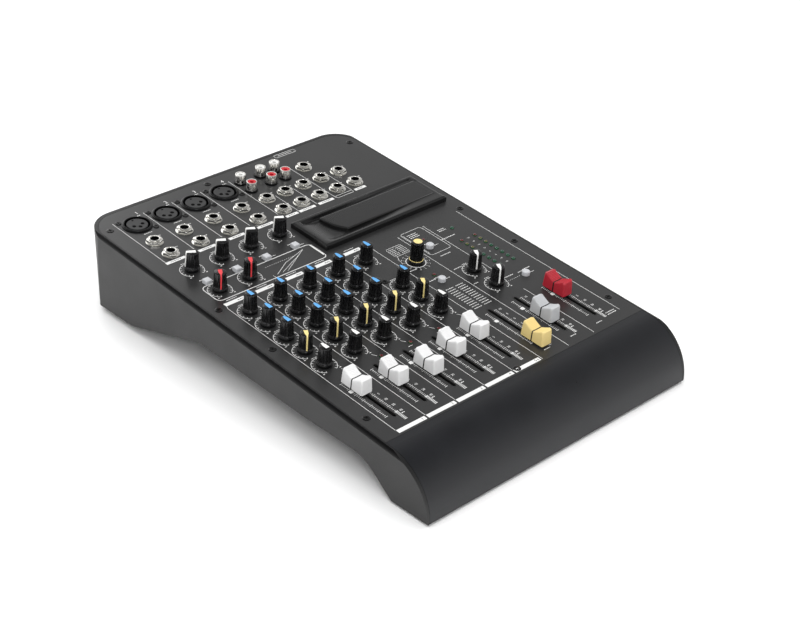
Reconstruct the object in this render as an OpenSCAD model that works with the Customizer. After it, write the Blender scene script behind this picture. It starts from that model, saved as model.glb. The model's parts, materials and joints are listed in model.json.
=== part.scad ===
// Compact eight-input mixing console: a tilted steel control panel in a moulded case with a rounded
// front lip. The origin is on the table, under the middle of the case. +X is to the operator's right,
// +Y to the rear and +Z up. Most pieces are drawn in the panel's own frame: x across from the middle,
// t up the slope from the front seam, and h out of the panel's face.

/* [Panel] */
// Width of the control panel
panel_w = 249.5; // [246:0.5:320]
// Length of the control panel up its slope
panel_d = 326; // [324:1:420]
// Thickness of the panel sheet
panel_t = 1.2; // [1:0.1:2]
// Angle of the panel above the table
panel_tilt = 5; // [3:0.5:7]

/* [Case] */
// Height of the panel's front edge above the table
front_height = 42; // [41:0.5:60]
// Width of the case's rim beside the panel
rim_w = 3; // [3:0.1:6]
// Gap round the panel in its recess
seam_gap = 0.25; // [0.2:0.05:0.5]
// Wall thickness of the case
wall = 2.6; // [2:0.1:3]
// Plan radius of the two rear corners
rear_corner_r = 24; // [16:1:40]
// Rounding along the case's upper side edges
edge_round = 2.6; // [1:0.1:2.8]
// Inward lean of the side walls
side_draft = 2.2; // [0:0.1:3]
// Radius of the rounded front lip
lip_radius = 39; // [30:1:40]
// Flat stretch between the lip's curve and the panel
lip_flat = 6; // [4:0.5:12]
// Length of the front leg's foot, front to back
front_foot_l = 34; // [28:1:44]
// Distance from the panel's front edge to the rear leg
rear_leg_start = 190; // [170:1:230]
// Gap between the front leg and the table
front_leg_gap = 1.5; // [1:0.1:3]
// Gap between the rear leg and the table
rear_leg_gap = 5; // [4:0.1:8]
// Diameter of the rubber feet
foot_d = 14; // [10:1:20]

/* [Channel strips] */
// Distance between neighbouring channel strips
strip_pitch = 27; // [26.5:0.1:29]
// Distance from the panel's middle to the first strip's controls
first_strip = 101.4; // [98:0.1:103]
// Distance between the knob rows
row_pitch = 19.6; // [19:0.1:21]
// Distance from the front seam to the pan knobs
pan_row = 86; // [84:0.5:90]

/* [Knobs] */
// Diameter of a knob at its top
knob_top_d = 8.9; // [7:0.1:10]
// Diameter of a knob's skirt
knob_skirt_d = 11.4; // [10:0.1:13]
// Height of a knob
knob_h = 14.5; // [10:0.5:18]
// Gap between a knob and the panel
knob_gap = 1; // [0.5:0.1:2]
// Diameter of a knob's shaft
shaft_d = 6; // [5:0.1:7]
// Height of the endless effect selector
selector_h = 17; // [12:0.5:20]

/* [Faders] */
// Travel of each fader
fader_travel = 45; // [30:1:50]
// Middle of the fader travel, from the front seam
fader_middle = 41.3; // [40:0.1:46]
// Length of a fader cap
cap_l = 21; // [14:0.5:26]
// Width of a fader cap
cap_w = 10; // [8:0.5:13]
// Height of a fader cap
cap_h = 11.5; // [8:0.5:13]
// Width of the slot that a fader's lever runs in
slot_w = 2.6; // [2:0.1:4]

/* [Buttons] */
// Side of a square button
button_w = 5; // [4:0.1:6]
// Diameter of a round button
round_button_d = 6; // [5:0.1:7]
// Height of a button above the panel
button_h = 3.2; // [2.5:0.1:5]
// Travel of a button
button_travel = 1.5; // [1:0.1:2]

/* [Sockets] */
// Bore of a 6.35 mm jack socket
jack_bore_d = 6.4; // [6.38:0.01:6.5]
// Depth of a jack socket's bore
jack_depth = 26; // [22:0.5:27]
// Size across the flats of a jack socket's nut
nut_flats = 11; // [10:0.1:13]
// Diameter of a microphone socket's flange
mic_flange_d = 23.2; // [22:0.1:26]
// Diameter of a microphone socket's contact insert
mic_insert_d = 16; // [15.8:0.1:16.2]
// Inner diameter of a microphone socket's ring
mic_ring_bore_d = 19.2; // [19:0.1:19.4]
// Diameter of a phono socket's barrel
phono_d = 8.3; // [8.2:0.05:8.4]
// Height of a phono socket's barrel above the panel
phono_h = 8; // [7:0.5:10]

/* [Tablet holder] */
// Width of the holder for a telephone or tablet
holder_w = 123; // [100:1:130]
// Front-to-back length of the holder
holder_l = 41; // [36:0.5:46]
// Thickness of the holder
holder_t = 4.8; // [4:0.1:6]

/* [Fits] */
// Radial running clearance of shafts in their bushes
run_gap = 0.05; // [0.02:0.01:0.08]
// Clearance round pieces that pass through the panel
pass_gap = 0.3; // [0.2:0.05:0.5]

/* [Hidden] */
$fn = 48;
tiny = 0.02;
big = 600;
strips = 5;
mono_strips = 4;

// Case outline, in distances behind the panel's front seam and above the table.
body_w = panel_w + 2 * (rim_w + seam_gap);
function slope_y(t, h) = t * cos(panel_tilt) - h * sin(panel_tilt);
function slope_z(t, h) = front_height + t * sin(panel_tilt) + h * cos(panel_tilt);
lip_y = slope_y(-lip_flat, -lip_radius);
lip_z = slope_z(-lip_flat, -lip_radius);
front_y = lip_y - lip_radius;
back_y = slope_y(panel_d + seam_gap + rim_w, 0);
seam_y = -(front_y + back_y) / 2;
case_depth = back_y - front_y;
underside_z = front_height - 19;
leg_top_z = underside_z + 6.4;
leg_slope = 0.292;
leg_foot_y = rear_leg_start + (leg_top_z - rear_leg_gap) / leg_slope;
heel_y = front_y + front_foot_l;
heel_slope = 0.84;
knee_y = heel_y + (underside_z - front_leg_gap) / heel_slope;
waist_y = 78;
ledge_w = 4;
ledge_t = 3;

// Depths of the boards and of what stands on them, below the panel's face.
board_t = 1.6;
main_board_h = -13.5;
socket_board_h = -28.5;
pot_h = 6.5;
bush_d = 9;
shaft_end_h = -10.5;
post_d = 5;
board_screw_d = 2.4;

// Rows and columns of the controls.
function strip_x(i) = -first_strip + i * strip_pitch;
function row_t(j) = pan_row + j * row_pitch;
compressor_row = 198;
low_cut_row = 210.7;
gain_row = 230;
low_cut_shift = -1.6;
send_fader_x = 35;
monitor_fader_x = 61.5;
main_fader_x = 93;
selector_at = [36.5, 142.5];
phones_at = [64, 109.5];
monitor_at = [64, 86.5];
round_buttons = [["effect_button", 59, 151.5], ["return_button", 34.5, 113.5], ["talk_button", 90.7, 83]];

// Sockets, counted from the panel's rear edge.
jack_rows = [panel_d - 70, panel_d - 50.4];
jack_x = -100.7;
line_pitch = 18.2;
line_x = 4.9;
third_row = panel_d - 29.5;
mic_row = panel_d - 24;
mic_x = -97.1;
mic_screw = [10.1, -9.6];
phono_rows = [panel_d - 32.7, panel_d - 19];
phono_columns = [4, 23.7, 37.7];
jack_places = concat(
    [for (i = [0:mono_strips - 1]) for (t = jack_rows) [jack_x + i * strip_pitch, t]],
    [for (j = [0:4]) for (t = jack_rows) [line_x + j * line_pitch, t]],
    [[line_x + 3 * line_pitch, third_row]]
);
mic_places = [for (i = [0:mono_strips - 1]) [mic_x + i * strip_pitch, mic_row]];
phono_places = [for (x = phono_columns) for (t = phono_rows) [x, t]];

// Knobs: name, x, t.
eq_rows = [["pan_knob", 0, strips], ["send_knob", 1, strips], ["low_knob", 2, strips],
           ["mid_knob", 3, mono_strips], ["high_knob", 4, strips]];
knobs = concat(
    [for (r = eq_rows) for (i = [0:r[2] - 1]) [str(r[0], "_", i + 1), strip_x(i), row_t(r[1])]],
    [for (i = [0:mono_strips - 1]) [str("gain_knob_", i + 1), strip_x(i), gain_row]],
    [for (i = [0:1]) [str("compressor_knob_", i + 1), strip_x(i), compressor_row]],
    [["phones_knob", phones_at.x, phones_at.y], ["monitor_knob", monitor_at.x, monitor_at.y]]
);

// Faders: name, x, where the cap stands at rest, colour.
faders = [
    ["fader_1", strip_x(0), 54.5, "white"],
    ["fader_2", strip_x(1), 48, "white"],
    ["fader_3", strip_x(2), 42.5, "white"],
    ["fader_4", strip_x(3), 48.5, "white"],
    ["fader_5", strip_x(4), 53, "white"],
    ["send_fader", send_fader_x, 21, "khaki"],
    ["monitor_fader", monitor_fader_x, 37.5, "lightgray"],
    ["main_fader", main_fader_x, 54.5, "firebrick"]
];
square_buttons = [for (i = [0:mono_strips - 1])
    [str("low_cut_button_", i + 1), strip_x(i) + low_cut_shift, low_cut_row]];

// Indicator lamps, each x and t.
lamp_d = 3;
meter_rows = 8;
meter_pitch = 5.77;
lamps = concat(
    [for (x = [85, 99]) for (j = [0:meter_rows - 1]) [x, 103.3 + j * meter_pitch]],
    [for (i = [0:strips - 1]) [strip_x(i) + 10.5, 70.5]],
    [[92, 161.3], [62, 161.4], [35.3, 122]]
);

// Panel screws, board posts and the middle post.
screw_d = 3;
screw_head_d = 5.8;
screw_edge = 7;
side_screws = [for (s = [-1, 1]) for (t = [26, 120.3, 178.5, panel_d - 19]) [s * (panel_w / 2 - screw_edge), t]];
front_screw = [0, 4.8];
rear_screw = [-18, panel_d - 6];
middle_screw = [0, 136.6];
panel_screws = concat(side_screws, [front_screw, rear_screw, middle_screw]);
board_posts = concat(
    [for (x = [-88, 20]) for (t = [15, 76, 182]) [x, t]],
    [[108, 15], [108, 76], [108, 182]]
);

// Rear panel fittings.
inlet_x = 52;
switch_x = 80;
rear_fit_z = 28;
pivot_d = 2;
pivot_depth = 6.2;
switch_size = [13.2, 19.2];
rocker_tilt = 10;

static_names = ["top_panel", "body_shell", "front_lip", "circuit_boards", "potentiometers",
                "mic_sockets", "line_sockets", "device_holder", "fasteners", "rubber_feet",
                "power_inlet", "power_switch", "effect_selector"];
function names(list) = [for (k = list) k[0]];
NODES = concat(static_names, names(knobs), names(faders), names(square_buttons), names(round_buttons));
node = "all";

function wanted(name) = node == "all" || node == name;

module on_panel(at = [0, 0], h = 0) {
    translate([0, seam_y, front_height])
        rotate([panel_tilt, 0, 0])
            translate([at[0], at[1], h])
                children();
}

// Upright round rod or hole from h0 up to h1 in the panel's frame.
module rod(at, d, h0, h1) {
    translate([at[0], at[1], h0])
        cylinder(d = d, h = h1 - h0);
}

// Upright square block centred on a place.
module block(at, size, h0, h1) {
    translate([at[0] - size[0] / 2, at[1] - size[1] / 2, h0])
        cube([size[0], size[1], h1 - h0]);
}

// Points along a path whose corners are rounded; each corner is [y, z, radius].
function turn(a, b, c) = let (
        u = (a - b) / norm(a - b),
        v = (c - b) / norm(c - b)
    ) [u, v, acos(u * v) / 2];
function rounded_corner(a, b, c, r, steps = 8) = let (
        uv = turn(a, b, c),
        middle = b + (uv[0] + uv[1]) / norm(uv[0] + uv[1]) * r / sin(uv[2]),
        p = b + uv[0] * r / tan(uv[2]) - middle,
        q = b + uv[1] * r / tan(uv[2]) - middle,
        first = atan2(p.y, p.x),
        sweep = (atan2(q.y, q.x) - first + 540) % 360 - 180
    ) [for (i = [0:steps]) middle + r * [cos(first + sweep * i / steps), sin(first + sweep * i / steps)]];
function flat(p) = [p[0], p[1]];
function rounded_path(c) = [for (i = [0:len(c) - 1])
    each c[i][2] == 0
        ? [flat(c[i])]
        : rounded_corner(flat(c[i - 1]), flat(c[i]), flat(c[i + 1]), c[i][2])];

// The clear space under the case, grown by the wall for the inside.
module underside(inset) {
    rise = inset * 1.1;
    corners = [
        [heel_y - 60 - inset, front_leg_gap - 60 * heel_slope + rise, 0],
        [knee_y - inset / 2, underside_z + inset, 30 - inset],
        [waist_y, underside_z + 0.8 + inset, 150],
        [rear_leg_start, leg_top_z + inset, 8 + inset],
        [leg_foot_y, rear_leg_gap + inset, 24 - inset],
        [back_y + 20, rear_leg_gap + inset, 0]
    ];
    polygon(concat(rounded_path(corners), [[back_y + 20, -big], [heel_y - big, -big]]));
}

// Side view of the case, as [distance behind the seam, height].
module side_view(inset = 0) {
    lip_r = lip_radius - inset;
    difference() {
        union() {
            intersection() {
                translate([lip_y, lip_z])
                    circle(r = lip_r + tiny, $fn = 120);
                translate([lip_y - 2 * lip_r, front_leg_gap + inset])
                    square([2 * lip_r, lip_radius * 2]);
            }
            polygon([
                [lip_y, front_leg_gap + inset],
                [slope_y(-lip_flat, -inset), slope_z(-lip_flat, -inset)],
                [back_y - inset, slope_z((back_y - inset) / cos(panel_tilt), 0) - inset],
                [back_y - inset, front_leg_gap + inset]
            ]);
        }
        underside(inset);
    }
}

// Plan with two round rear corners, from y0 to y1.
module rear_rounded(w, y0, y1, r) {
    translate([-w / 2, y0])
        square([w, y1 - r - y0]);
    translate([r - w / 2, y0])
        square([w - 2 * r, y1 - y0]);
    for (s = [-1, 1])
        translate([s * (w / 2 - r), y1 - r])
            circle(r = r);
}

// Cross-section of the case, square to the panel's slope.
module cross_section(inset) {
    half = body_w / 2 - inset;
    lean = big / 4 * tan(side_draft);
    r = max(edge_round - inset, 0.2);
    polygon(concat(
        rounded_corner([half - lean, -big / 4], [half, 0], [-half, 0], r),
        rounded_corner([half, 0], [-half, 0], [lean - half, -big / 4], r),
        [[lean - half, -big / 4], [half - lean, -big / 4]]
    ));
}

module case_form(inset = 0) {
    intersection() {
        translate([-body_w, seam_y, 0])
            rotate([90, 0, 90])
                linear_extrude(2 * body_w)
                    side_view(inset);
        translate([0, seam_y, -1])
            linear_extrude(big / 2)
                rear_rounded(body_w + 2 * tiny, front_y - 1, back_y - inset, rear_corner_r - inset);
        on_panel([0, panel_d + 40])
            rotate([90, 0, 0])
                linear_extrude(panel_d + 160)
                    cross_section(inset);
    }
}

// Side view of the lip's wall in the panel's frame. It ends at rear behind the seam, and over adds
// to its outside.
module lip_profile(thick, rear, over) {
    difference() {
        translate([-lip_flat, -lip_radius])
            circle(r = lip_radius + over, $fn = 120);
        translate([-lip_flat, -lip_radius])
            circle(r = lip_radius - thick, $fn = 120);
        translate([-lip_flat, -big / 2])
            square(big);
        translate([-big / 2, -big - lip_radius - 10])
            square(big);
    }
    translate([-lip_flat - tiny, -thick])
        square([lip_flat + rear + tiny, thick + over]);
}

module lip_part(half, thick, rear, over = 0) {
    on_panel()
        translate([-half, 0, 0])
            rotate([90, 0, 90])
                linear_extrude(2 * half)
                    lip_profile(thick, rear, over);
}

// Blocks that the panel screws bite into.
module screw_blocks() {
    depth = 10;
    for (p = side_screws)
        on_panel()
            block([p.x + sign(p.x) * 5, p.y], [20, 10], -panel_t - depth, -panel_t);
    on_panel()
        block([rear_screw.x, rear_screw.y + 4], [10, 20], -panel_t - depth, -panel_t);
}

module middle_post() {
    on_panel()
        rod(middle_screw, 8, -40, -panel_t);
}

// Rail under the seam, which carries the panel's front edge and the lip's rear edge.
module front_rail() {
    on_panel() {
        block([0, 2.25], [body_w - 2 * wall + 1, 15.5], -9, -wall);
        block([0, 5], [body_w - 2 * wall + 1, 10], -9, -panel_t);
    }
}

module rear_pad() {
    translate([(inlet_x + switch_x) / 2 - 30, seam_y + back_y - 2 * wall, rear_fit_z - 16])
        cube([60, 2 * wall, 32]);
}

module rear_cutouts() {
    rear = seam_y + back_y;
    translate([inlet_x, rear + 1, rear_fit_z])
        rotate([90, 0, 0])
            cylinder(d = 11 + 2 * pass_gap, h = 20);
    translate([switch_x - switch_size.x / 2, rear - 19, rear_fit_z - switch_size.y / 2])
        cube([switch_size.x, 20, switch_size.y]);
    translate([switch_x - switch_size.x / 2 - 1.2, rear - 1.2, rear_fit_z - switch_size.y / 2 - 1.2])
        cube([switch_size.x + 2.4, 5, switch_size.y + 2.4]);
}

module body_shell() {
    recess_w = panel_w + 2 * seam_gap;
    inner_r = rear_corner_r - rim_w;
    color("dimgray")
        difference() {
            union() {
                difference() {
                    case_form();
                    intersection() {
                        case_form(wall);
                        on_panel()
                            translate([-body_w, -100, -2 * big - panel_t - ledge_t])
                                cube([2 * body_w, big, 2 * big]);
                    }
                    lip_part(body_w / 2 - rim_w, wall + seam_gap, 0, 1);
                    on_panel([0, 0], -panel_t - ledge_t - 1)
                        linear_extrude(ledge_t + 2)
                            rear_rounded(panel_w - 2 * ledge_w, -20, panel_d - ledge_w, inner_r - ledge_w);
                }
                intersection() {
                    case_form(wall / 2);
                    union() {
                        screw_blocks();
                        middle_post();
                        front_rail();
                        rear_pad();
                    }
                }
            }
            on_panel([0, 0], -panel_t)
                linear_extrude(10)
                    rear_rounded(recess_w, -seam_gap, panel_d + seam_gap, inner_r);
            for (p = panel_screws)
                on_panel()
                    rod(p, screw_d + 2 * run_gap, -panel_t - 8, 1);
            rear_cutouts();
        }
}

module front_lip() {
    color("dimgray")
        difference() {
            lip_part(body_w / 2 - rim_w - seam_gap, wall, -seam_gap);
            translate([-big / 2, -big / 2, front_leg_gap - big])
                cube(big);
        }
}

module slot(at, l, w) {
    translate([at[0] - w / 2, at[1] - l / 2 + w / 2])
        square([w, l - w]);
    for (s = [-1, 1])
        translate([at[0], at[1] + s * (l - w) / 2])
            circle(d = w, $fn = 24);
}

module holes(places, d) {
    for (p = places)
        translate([p[0], p[1]])
            circle(d = d, $fn = 32);
}

lever_l = 4.4;
slot_l = fader_travel + lever_l + 1.2;
knob_hole_d = shaft_d + 1.6;
mic_body_d = mic_ring_bore_d + 1.8;
bushing_d = jack_bore_d + 1.8;
phono_collar_d = phono_d + 1.4;
lamp_hole_d = lamp_d + 2 * pass_gap;
mic_screws = [for (p = mic_places) for (s = [-1, 1]) [p.x + s * mic_screw.x, p.y + s * mic_screw.y]];

module top_panel() {
    color("darkslategray")
        difference() {
            union() {
                on_panel([0, 0], -panel_t)
                    linear_extrude(panel_t)
                        difference() {
                            rear_rounded(panel_w, 0, panel_d, rear_corner_r - rim_w - seam_gap);
                            holes([for (k = knobs) [k[1], k[2]]], knob_hole_d);
                            holes([selector_at], knob_hole_d);
                            holes(jack_places, bushing_d + 2 * pass_gap);
                            holes(phono_places, phono_collar_d + 2 * pass_gap);
                            holes(mic_places, mic_body_d + 2 * pass_gap);
                            holes(mic_screws, screw_d);
                            holes(lamps, lamp_hole_d);
                            holes([for (b = round_buttons) [b[1], b[2]]], round_button_d + 2 * pass_gap);
                            for (b = square_buttons)
                                translate([b[1], b[2]])
                                    square(button_w + 2 * pass_gap, center = true);
                            for (f = faders)
                                slot([f[1], fader_middle], slot_l, slot_w);
                        }
                for (p = board_posts)
                    on_panel()
                        rod(p, post_d, main_board_h, tiny - panel_t);
            }
            for (p = panel_screws)
                on_panel() {
                    rod(p, screw_d + 0.4, -panel_t - 1, 1);
                    translate([p.x, p.y, -panel_t])
                        cylinder(d1 = screw_d + 0.4, d2 = screw_head_d + 0.2, h = panel_t + tiny);
                }
            for (p = board_posts)
                on_panel()
                    rod(p, board_screw_d + 2 * run_gap, main_board_h - 1, main_board_h + 7);
        }
}

// Lamp on its stand, from the board up through the panel.
module lamp(at) {
    rod(at, lamp_d, main_board_h, 0);
    translate([at[0], at[1], 0])
        intersection() {
            sphere(d = lamp_d, $fn = 24);
            translate([-lamp_d, -lamp_d, 0])
                cube([2 * lamp_d, 2 * lamp_d, 0.5]);
        }
}

switch_top_h = -5.2;
switch_w = 6.5;
stem_w = 2.4;

module circuit_boards() {
    board_w = panel_w - 4 * screw_edge - 2;
    color("darkgreen") {
        on_panel([0, 0], main_board_h - board_t)
            linear_extrude(board_t)
                difference() {
                    translate([-board_w / 2, 12])
                        square([board_w, panel_d - 95]);
                    holes([middle_screw], 9);
                    holes(board_posts, board_screw_d + 0.4);
                }
        on_panel([0, 0], socket_board_h - board_t)
            linear_extrude(board_t)
                translate([-board_w / 2, jack_rows[0] - 9])
                    square([board_w, panel_d - jack_rows[0] - 3]);
    }
    color("seagreen")
        for (p = lamps)
            on_panel()
                lamp(p);
    color("black")
        for (b = concat(square_buttons, round_buttons))
            on_panel()
                difference() {
                    block([b[1], b[2]], [switch_w, switch_w], main_board_h, switch_top_h);
                    block([b[1], b[2]], [stem_w + 0.6, stem_w + 0.6], -11.5, 0);
                }
}

module rotary_pot(at) {
    difference() {
        union() {
            block(at, [9.5, 10], main_board_h, main_board_h + pot_h);
            rod(at, bush_d, main_board_h + pot_h - tiny, -panel_t);
        }
        rod(at, shaft_d + 2 * run_gap, shaft_end_h - 0.5, 0);
    }
}

module slide_pot(x) {
    top_h = -4;
    difference() {
        block([x, fader_middle], [8, fader_travel + 14], main_board_h, top_h);
        block([x, fader_middle], [lever_t + 0.6, slot_l], shaft_end_h - 0.8, 0);
    }
}

module potentiometers() {
    color("silver")
        on_panel() {
            for (k = knobs)
                rotary_pot([k[1], k[2]]);
            rotary_pot(selector_at);
            for (f = faders)
                slide_pot(f[1]);
        }
}

// Three-contact microphone socket: a flanged ring round a deep groove and an insert.
module mic_socket() {
    ring_top = 1.5;
    flange_t = 0.8;
    insert_top = 1;
    floor_h = -18;
    contact_r = 4;
    contact_d = 2.6;
    difference() {
        union() {
            rod([0, 0], mic_body_d, socket_board_h, ring_top);
            rod([0, 0], mic_flange_d, 0, flange_t);
        }
        rod([0, 0], mic_ring_bore_d, floor_h, 5);
    }
    difference() {
        rod([0, 0], mic_insert_d, floor_h - tiny, insert_top);
        for (a = [200, 270, 340])
            rod(contact_r * [cos(a), sin(a)], contact_d, floor_h + 4, 5);
    }
}

module mic_sockets() {
    color("black")
        for (p = mic_places)
            on_panel(p)
                mic_socket();
}

module jack_socket() {
    bushing_top = 3.6;
    shoulder = -panel_t;
    difference() {
        union() {
            block([0, 0], [12, 13], socket_board_h, shoulder);
            rod([0, 0], bushing_d, shoulder - tiny, bushing_top);
        }
        rod([0, 0], jack_bore_d, bushing_top - jack_depth, bushing_top + 1);
    }
}

module phono_socket() {
    pin_hole_d = 3.2;
    collar_top = 1.2;
    difference() {
        union() {
            block([0, 0], [10.4, 10.4], socket_board_h, -panel_t);
            rod([0, 0], phono_collar_d, -panel_t - tiny, collar_top);
            rod([0, 0], phono_d, 0, phono_h);
        }
        rod([0, 0], pin_hole_d, -6, phono_h + 1);
    }
}

module line_sockets() {
    color("gainsboro") {
        for (p = jack_places)
            on_panel(p)
                jack_socket();
        for (p = phono_places)
            on_panel(p)
                phono_socket();
    }
}

// Shallow tray with a raised pad that stops a tablet sliding.
module device_holder() {
    middle = [54.5, 213];
    pocket = [holder_w - 17, holder_l - 10];
    pocket_depth = 2.8;
    pad_l = holder_l - 17;
    end_r = 60;
    color("black")
        on_panel(middle)
            union() {
                difference() {
                    block([0, 0], [holder_w, holder_l], 0, holder_t);
                    block([3, 1.5], pocket, holder_t - pocket_depth, holder_t + 1);
                }
                intersection() {
                    block([8, 0.5], [pocket.x + 2, pad_l], holder_t - pocket_depth - tiny, holder_t);
                    rod([end_r - 47, 40], 2 * end_r + 40, 0, 10);
                }
            }
}

module countersunk_screw(l) {
    translate([0, 0, -panel_t])
        cylinder(d1 = screw_d, d2 = screw_head_d, h = panel_t);
    translate([0, 0, -panel_t - l])
        cylinder(d = screw_d, h = l + tiny);
}

module fasteners() {
    nut_t = 2.2;
    color("black") {
        for (p = panel_screws)
            on_panel(p)
                countersunk_screw(7);
        for (p = mic_screws)
            on_panel(p) {
                cylinder(d = screw_d + 1.6, h = 0.7);
                rod([0, 0], screw_d - 0.2, -6, tiny);
            }
    }
    color("gainsboro") {
        for (p = jack_places)
            on_panel(p)
                difference() {
                    cylinder(d = nut_flats / cos(30), h = nut_t, $fn = 6);
                    rod([0, 0], bushing_d + 2 * run_gap, -1, nut_t + 1);
                }
        for (p = board_posts)
            on_panel(p) {
                rod([0, 0], board_screw_d + 2, main_board_h - board_t - 1.4, main_board_h - board_t);
                rod([0, 0], board_screw_d, main_board_h - board_t - tiny, main_board_h + 6);
            }
    }
}

module rubber_feet() {
    color("black")
        for (s = [-1, 1]) {
            translate([s * 95, seam_y + (front_y + heel_y) / 2, 0])
                cylinder(d = foot_d, h = front_leg_gap);
            translate([s * 95, seam_y + (leg_foot_y + back_y) / 2, 0])
                cylinder(d = foot_d, h = rear_leg_gap);
        }
}

// Low-voltage inlet and the frame that the rocker switch sits in.
module power_inlet() {
    rear = seam_y + back_y;
    depth = 13;
    color("black") {
        translate([inlet_x, rear, rear_fit_z])
            rotate([90, 0, 0])
                difference() {
                    union() {
                        cylinder(d = 11, h = depth);
                        translate([0, 0, 2 * wall])
                            cylinder(d = 14, h = 3);
                    }
                    translate([0, 0, -1])
                        cylinder(d = 5.6, h = 11);
                }
        translate([inlet_x, rear - 0.5, rear_fit_z])
            rotate([90, 0, 0])
                cylinder(d = 2.1, h = depth - 2);
        difference() {
            union() {
                translate([switch_x, rear - 1.2, rear_fit_z])
                    frame_box(switch_size + [2, 2], 1.2);
                translate([switch_x, rear - depth, rear_fit_z])
                    frame_box(switch_size - [2 * pass_gap, 2 * pass_gap], depth - 1);
            }
            translate([switch_x, rear - 10, rear_fit_z])
                frame_box(switch_size - [2.6, 2.6], 20);
            translate([switch_x, rear - pivot_depth, rear_fit_z])
                rotate([0, 90, 0])
                    cylinder(d = pivot_d + 2 * run_gap, h = 20, center = true);
        }
    }
}

// Box centred in X and Z that runs towards the rear from its place.
module frame_box(size, l) {
    translate([-size.x / 2, 0, -size.y / 2])
        cube([size.x, l, size.y]);
}

module power_switch() {
    half_l = 7.4;
    color("black")
        translate([switch_x, seam_y + back_y - pivot_depth, rear_fit_z])
            rotate([rocker_tilt - 90, 0, 0]) {
                translate([-5, 0, 0])
                    rotate([90, 0, 90])
                        linear_extrude(10)
                            polygon([[-half_l, -1.8], [half_l, -1.8], [half_l, 2.8], [0, 1.2], [-half_l, 2.8]]);
                rotate([0, 90, 0])
                    cylinder(d = pivot_d, h = 11.4, center = true);
            }
}

// Tapered knob with a skirt, and the shaft that turns in the bush below it.
module knob() {
    skirt_t = 2.4;
    translate([0, 0, knob_gap])
        cylinder(d = knob_skirt_d, h = skirt_t);
    translate([0, 0, knob_gap])
        cylinder(d1 = knob_skirt_d - 1, d2 = knob_top_d, h = knob_h);
    rod([0, 0], shaft_d, shaft_end_h, knob_gap + tiny);
}

module effect_selector() {
    color("black")
        on_panel(selector_at) {
            rod([0, 0], knob_skirt_d + 0.6, knob_gap, knob_gap + 1.8);
            rod([0, 0], knob_top_d + 0.9, knob_gap, knob_gap + selector_h);
            rod([0, 0], shaft_d, shaft_end_h, knob_gap + tiny);
        }
}

lever_t = 1.2;

// Fader cap with a hollowed top, and the lever that runs in the slot.
module fader_cap() {
    cap_gap = 1.5;
    dip = 2.4;
    scoop_r = (cap_l * cap_l / 4 + dip * dip) / (2 * dip);
    difference() {
        block([0, 0], [cap_w, cap_l], cap_gap, cap_gap + cap_h);
        translate([-cap_w, 0, cap_gap + cap_h - dip + scoop_r])
            rotate([0, 90, 0])
                cylinder(r = scoop_r, h = 2 * cap_w, $fn = 96);
    }
    block([0, 0], [lever_t, lever_l], shaft_end_h, cap_gap + tiny);
}

module button_stem() {
    block([0, 0], [stem_w, stem_w], -9.5, -2.5);
}

module square_button() {
    block([0, 0], [button_w, button_w], -3, button_h);
    button_stem();
}

module round_button() {
    rod([0, 0], round_button_d, -3, button_h);
    button_stem();
}

if (wanted("top_panel")) top_panel();
if (wanted("body_shell")) body_shell();
if (wanted("front_lip")) front_lip();
if (wanted("circuit_boards")) circuit_boards();
if (wanted("potentiometers")) potentiometers();
if (wanted("mic_sockets")) mic_sockets();
if (wanted("line_sockets")) line_sockets();
if (wanted("device_holder")) device_holder();
if (wanted("fasteners")) fasteners();
if (wanted("rubber_feet")) rubber_feet();
if (wanted("power_inlet")) power_inlet();
if (wanted("power_switch")) power_switch();
if (wanted("effect_selector")) effect_selector();
for (k = knobs)
    if (wanted(k[0])) color("black") on_panel([k[1], k[2]]) knob();
for (f = faders)
    if (wanted(f[0])) color(f[3]) on_panel([f[1], f[2]]) fader_cap();
for (b = square_buttons)
    if (wanted(b[0])) color("lightgray") on_panel([b[1], b[2]]) square_button();
for (b = round_buttons)
    if (wanted(b[0])) color("lightgray") on_panel([b[1], b[2]]) round_button();
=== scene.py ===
import json
import math
import random

import bmesh
import bpy
from mathutils import Matrix, Vector


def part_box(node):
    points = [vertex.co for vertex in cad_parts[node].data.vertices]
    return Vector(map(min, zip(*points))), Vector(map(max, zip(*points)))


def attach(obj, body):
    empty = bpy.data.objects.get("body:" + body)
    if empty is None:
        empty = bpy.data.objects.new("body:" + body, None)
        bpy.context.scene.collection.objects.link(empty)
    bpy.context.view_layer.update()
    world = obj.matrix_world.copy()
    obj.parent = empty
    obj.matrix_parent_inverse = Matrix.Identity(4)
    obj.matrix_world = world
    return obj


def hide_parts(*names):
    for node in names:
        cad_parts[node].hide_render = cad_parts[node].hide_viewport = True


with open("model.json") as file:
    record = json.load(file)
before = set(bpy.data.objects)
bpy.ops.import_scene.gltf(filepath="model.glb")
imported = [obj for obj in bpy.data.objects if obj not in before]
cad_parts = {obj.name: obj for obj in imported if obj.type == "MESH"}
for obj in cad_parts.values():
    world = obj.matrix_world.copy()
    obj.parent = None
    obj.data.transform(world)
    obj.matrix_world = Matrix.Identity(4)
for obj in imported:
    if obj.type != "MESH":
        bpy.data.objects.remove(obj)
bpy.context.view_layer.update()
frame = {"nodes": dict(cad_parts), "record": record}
record = frame["record"]
print("frame loaded:", len(frame["nodes"]), "nodes")

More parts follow.
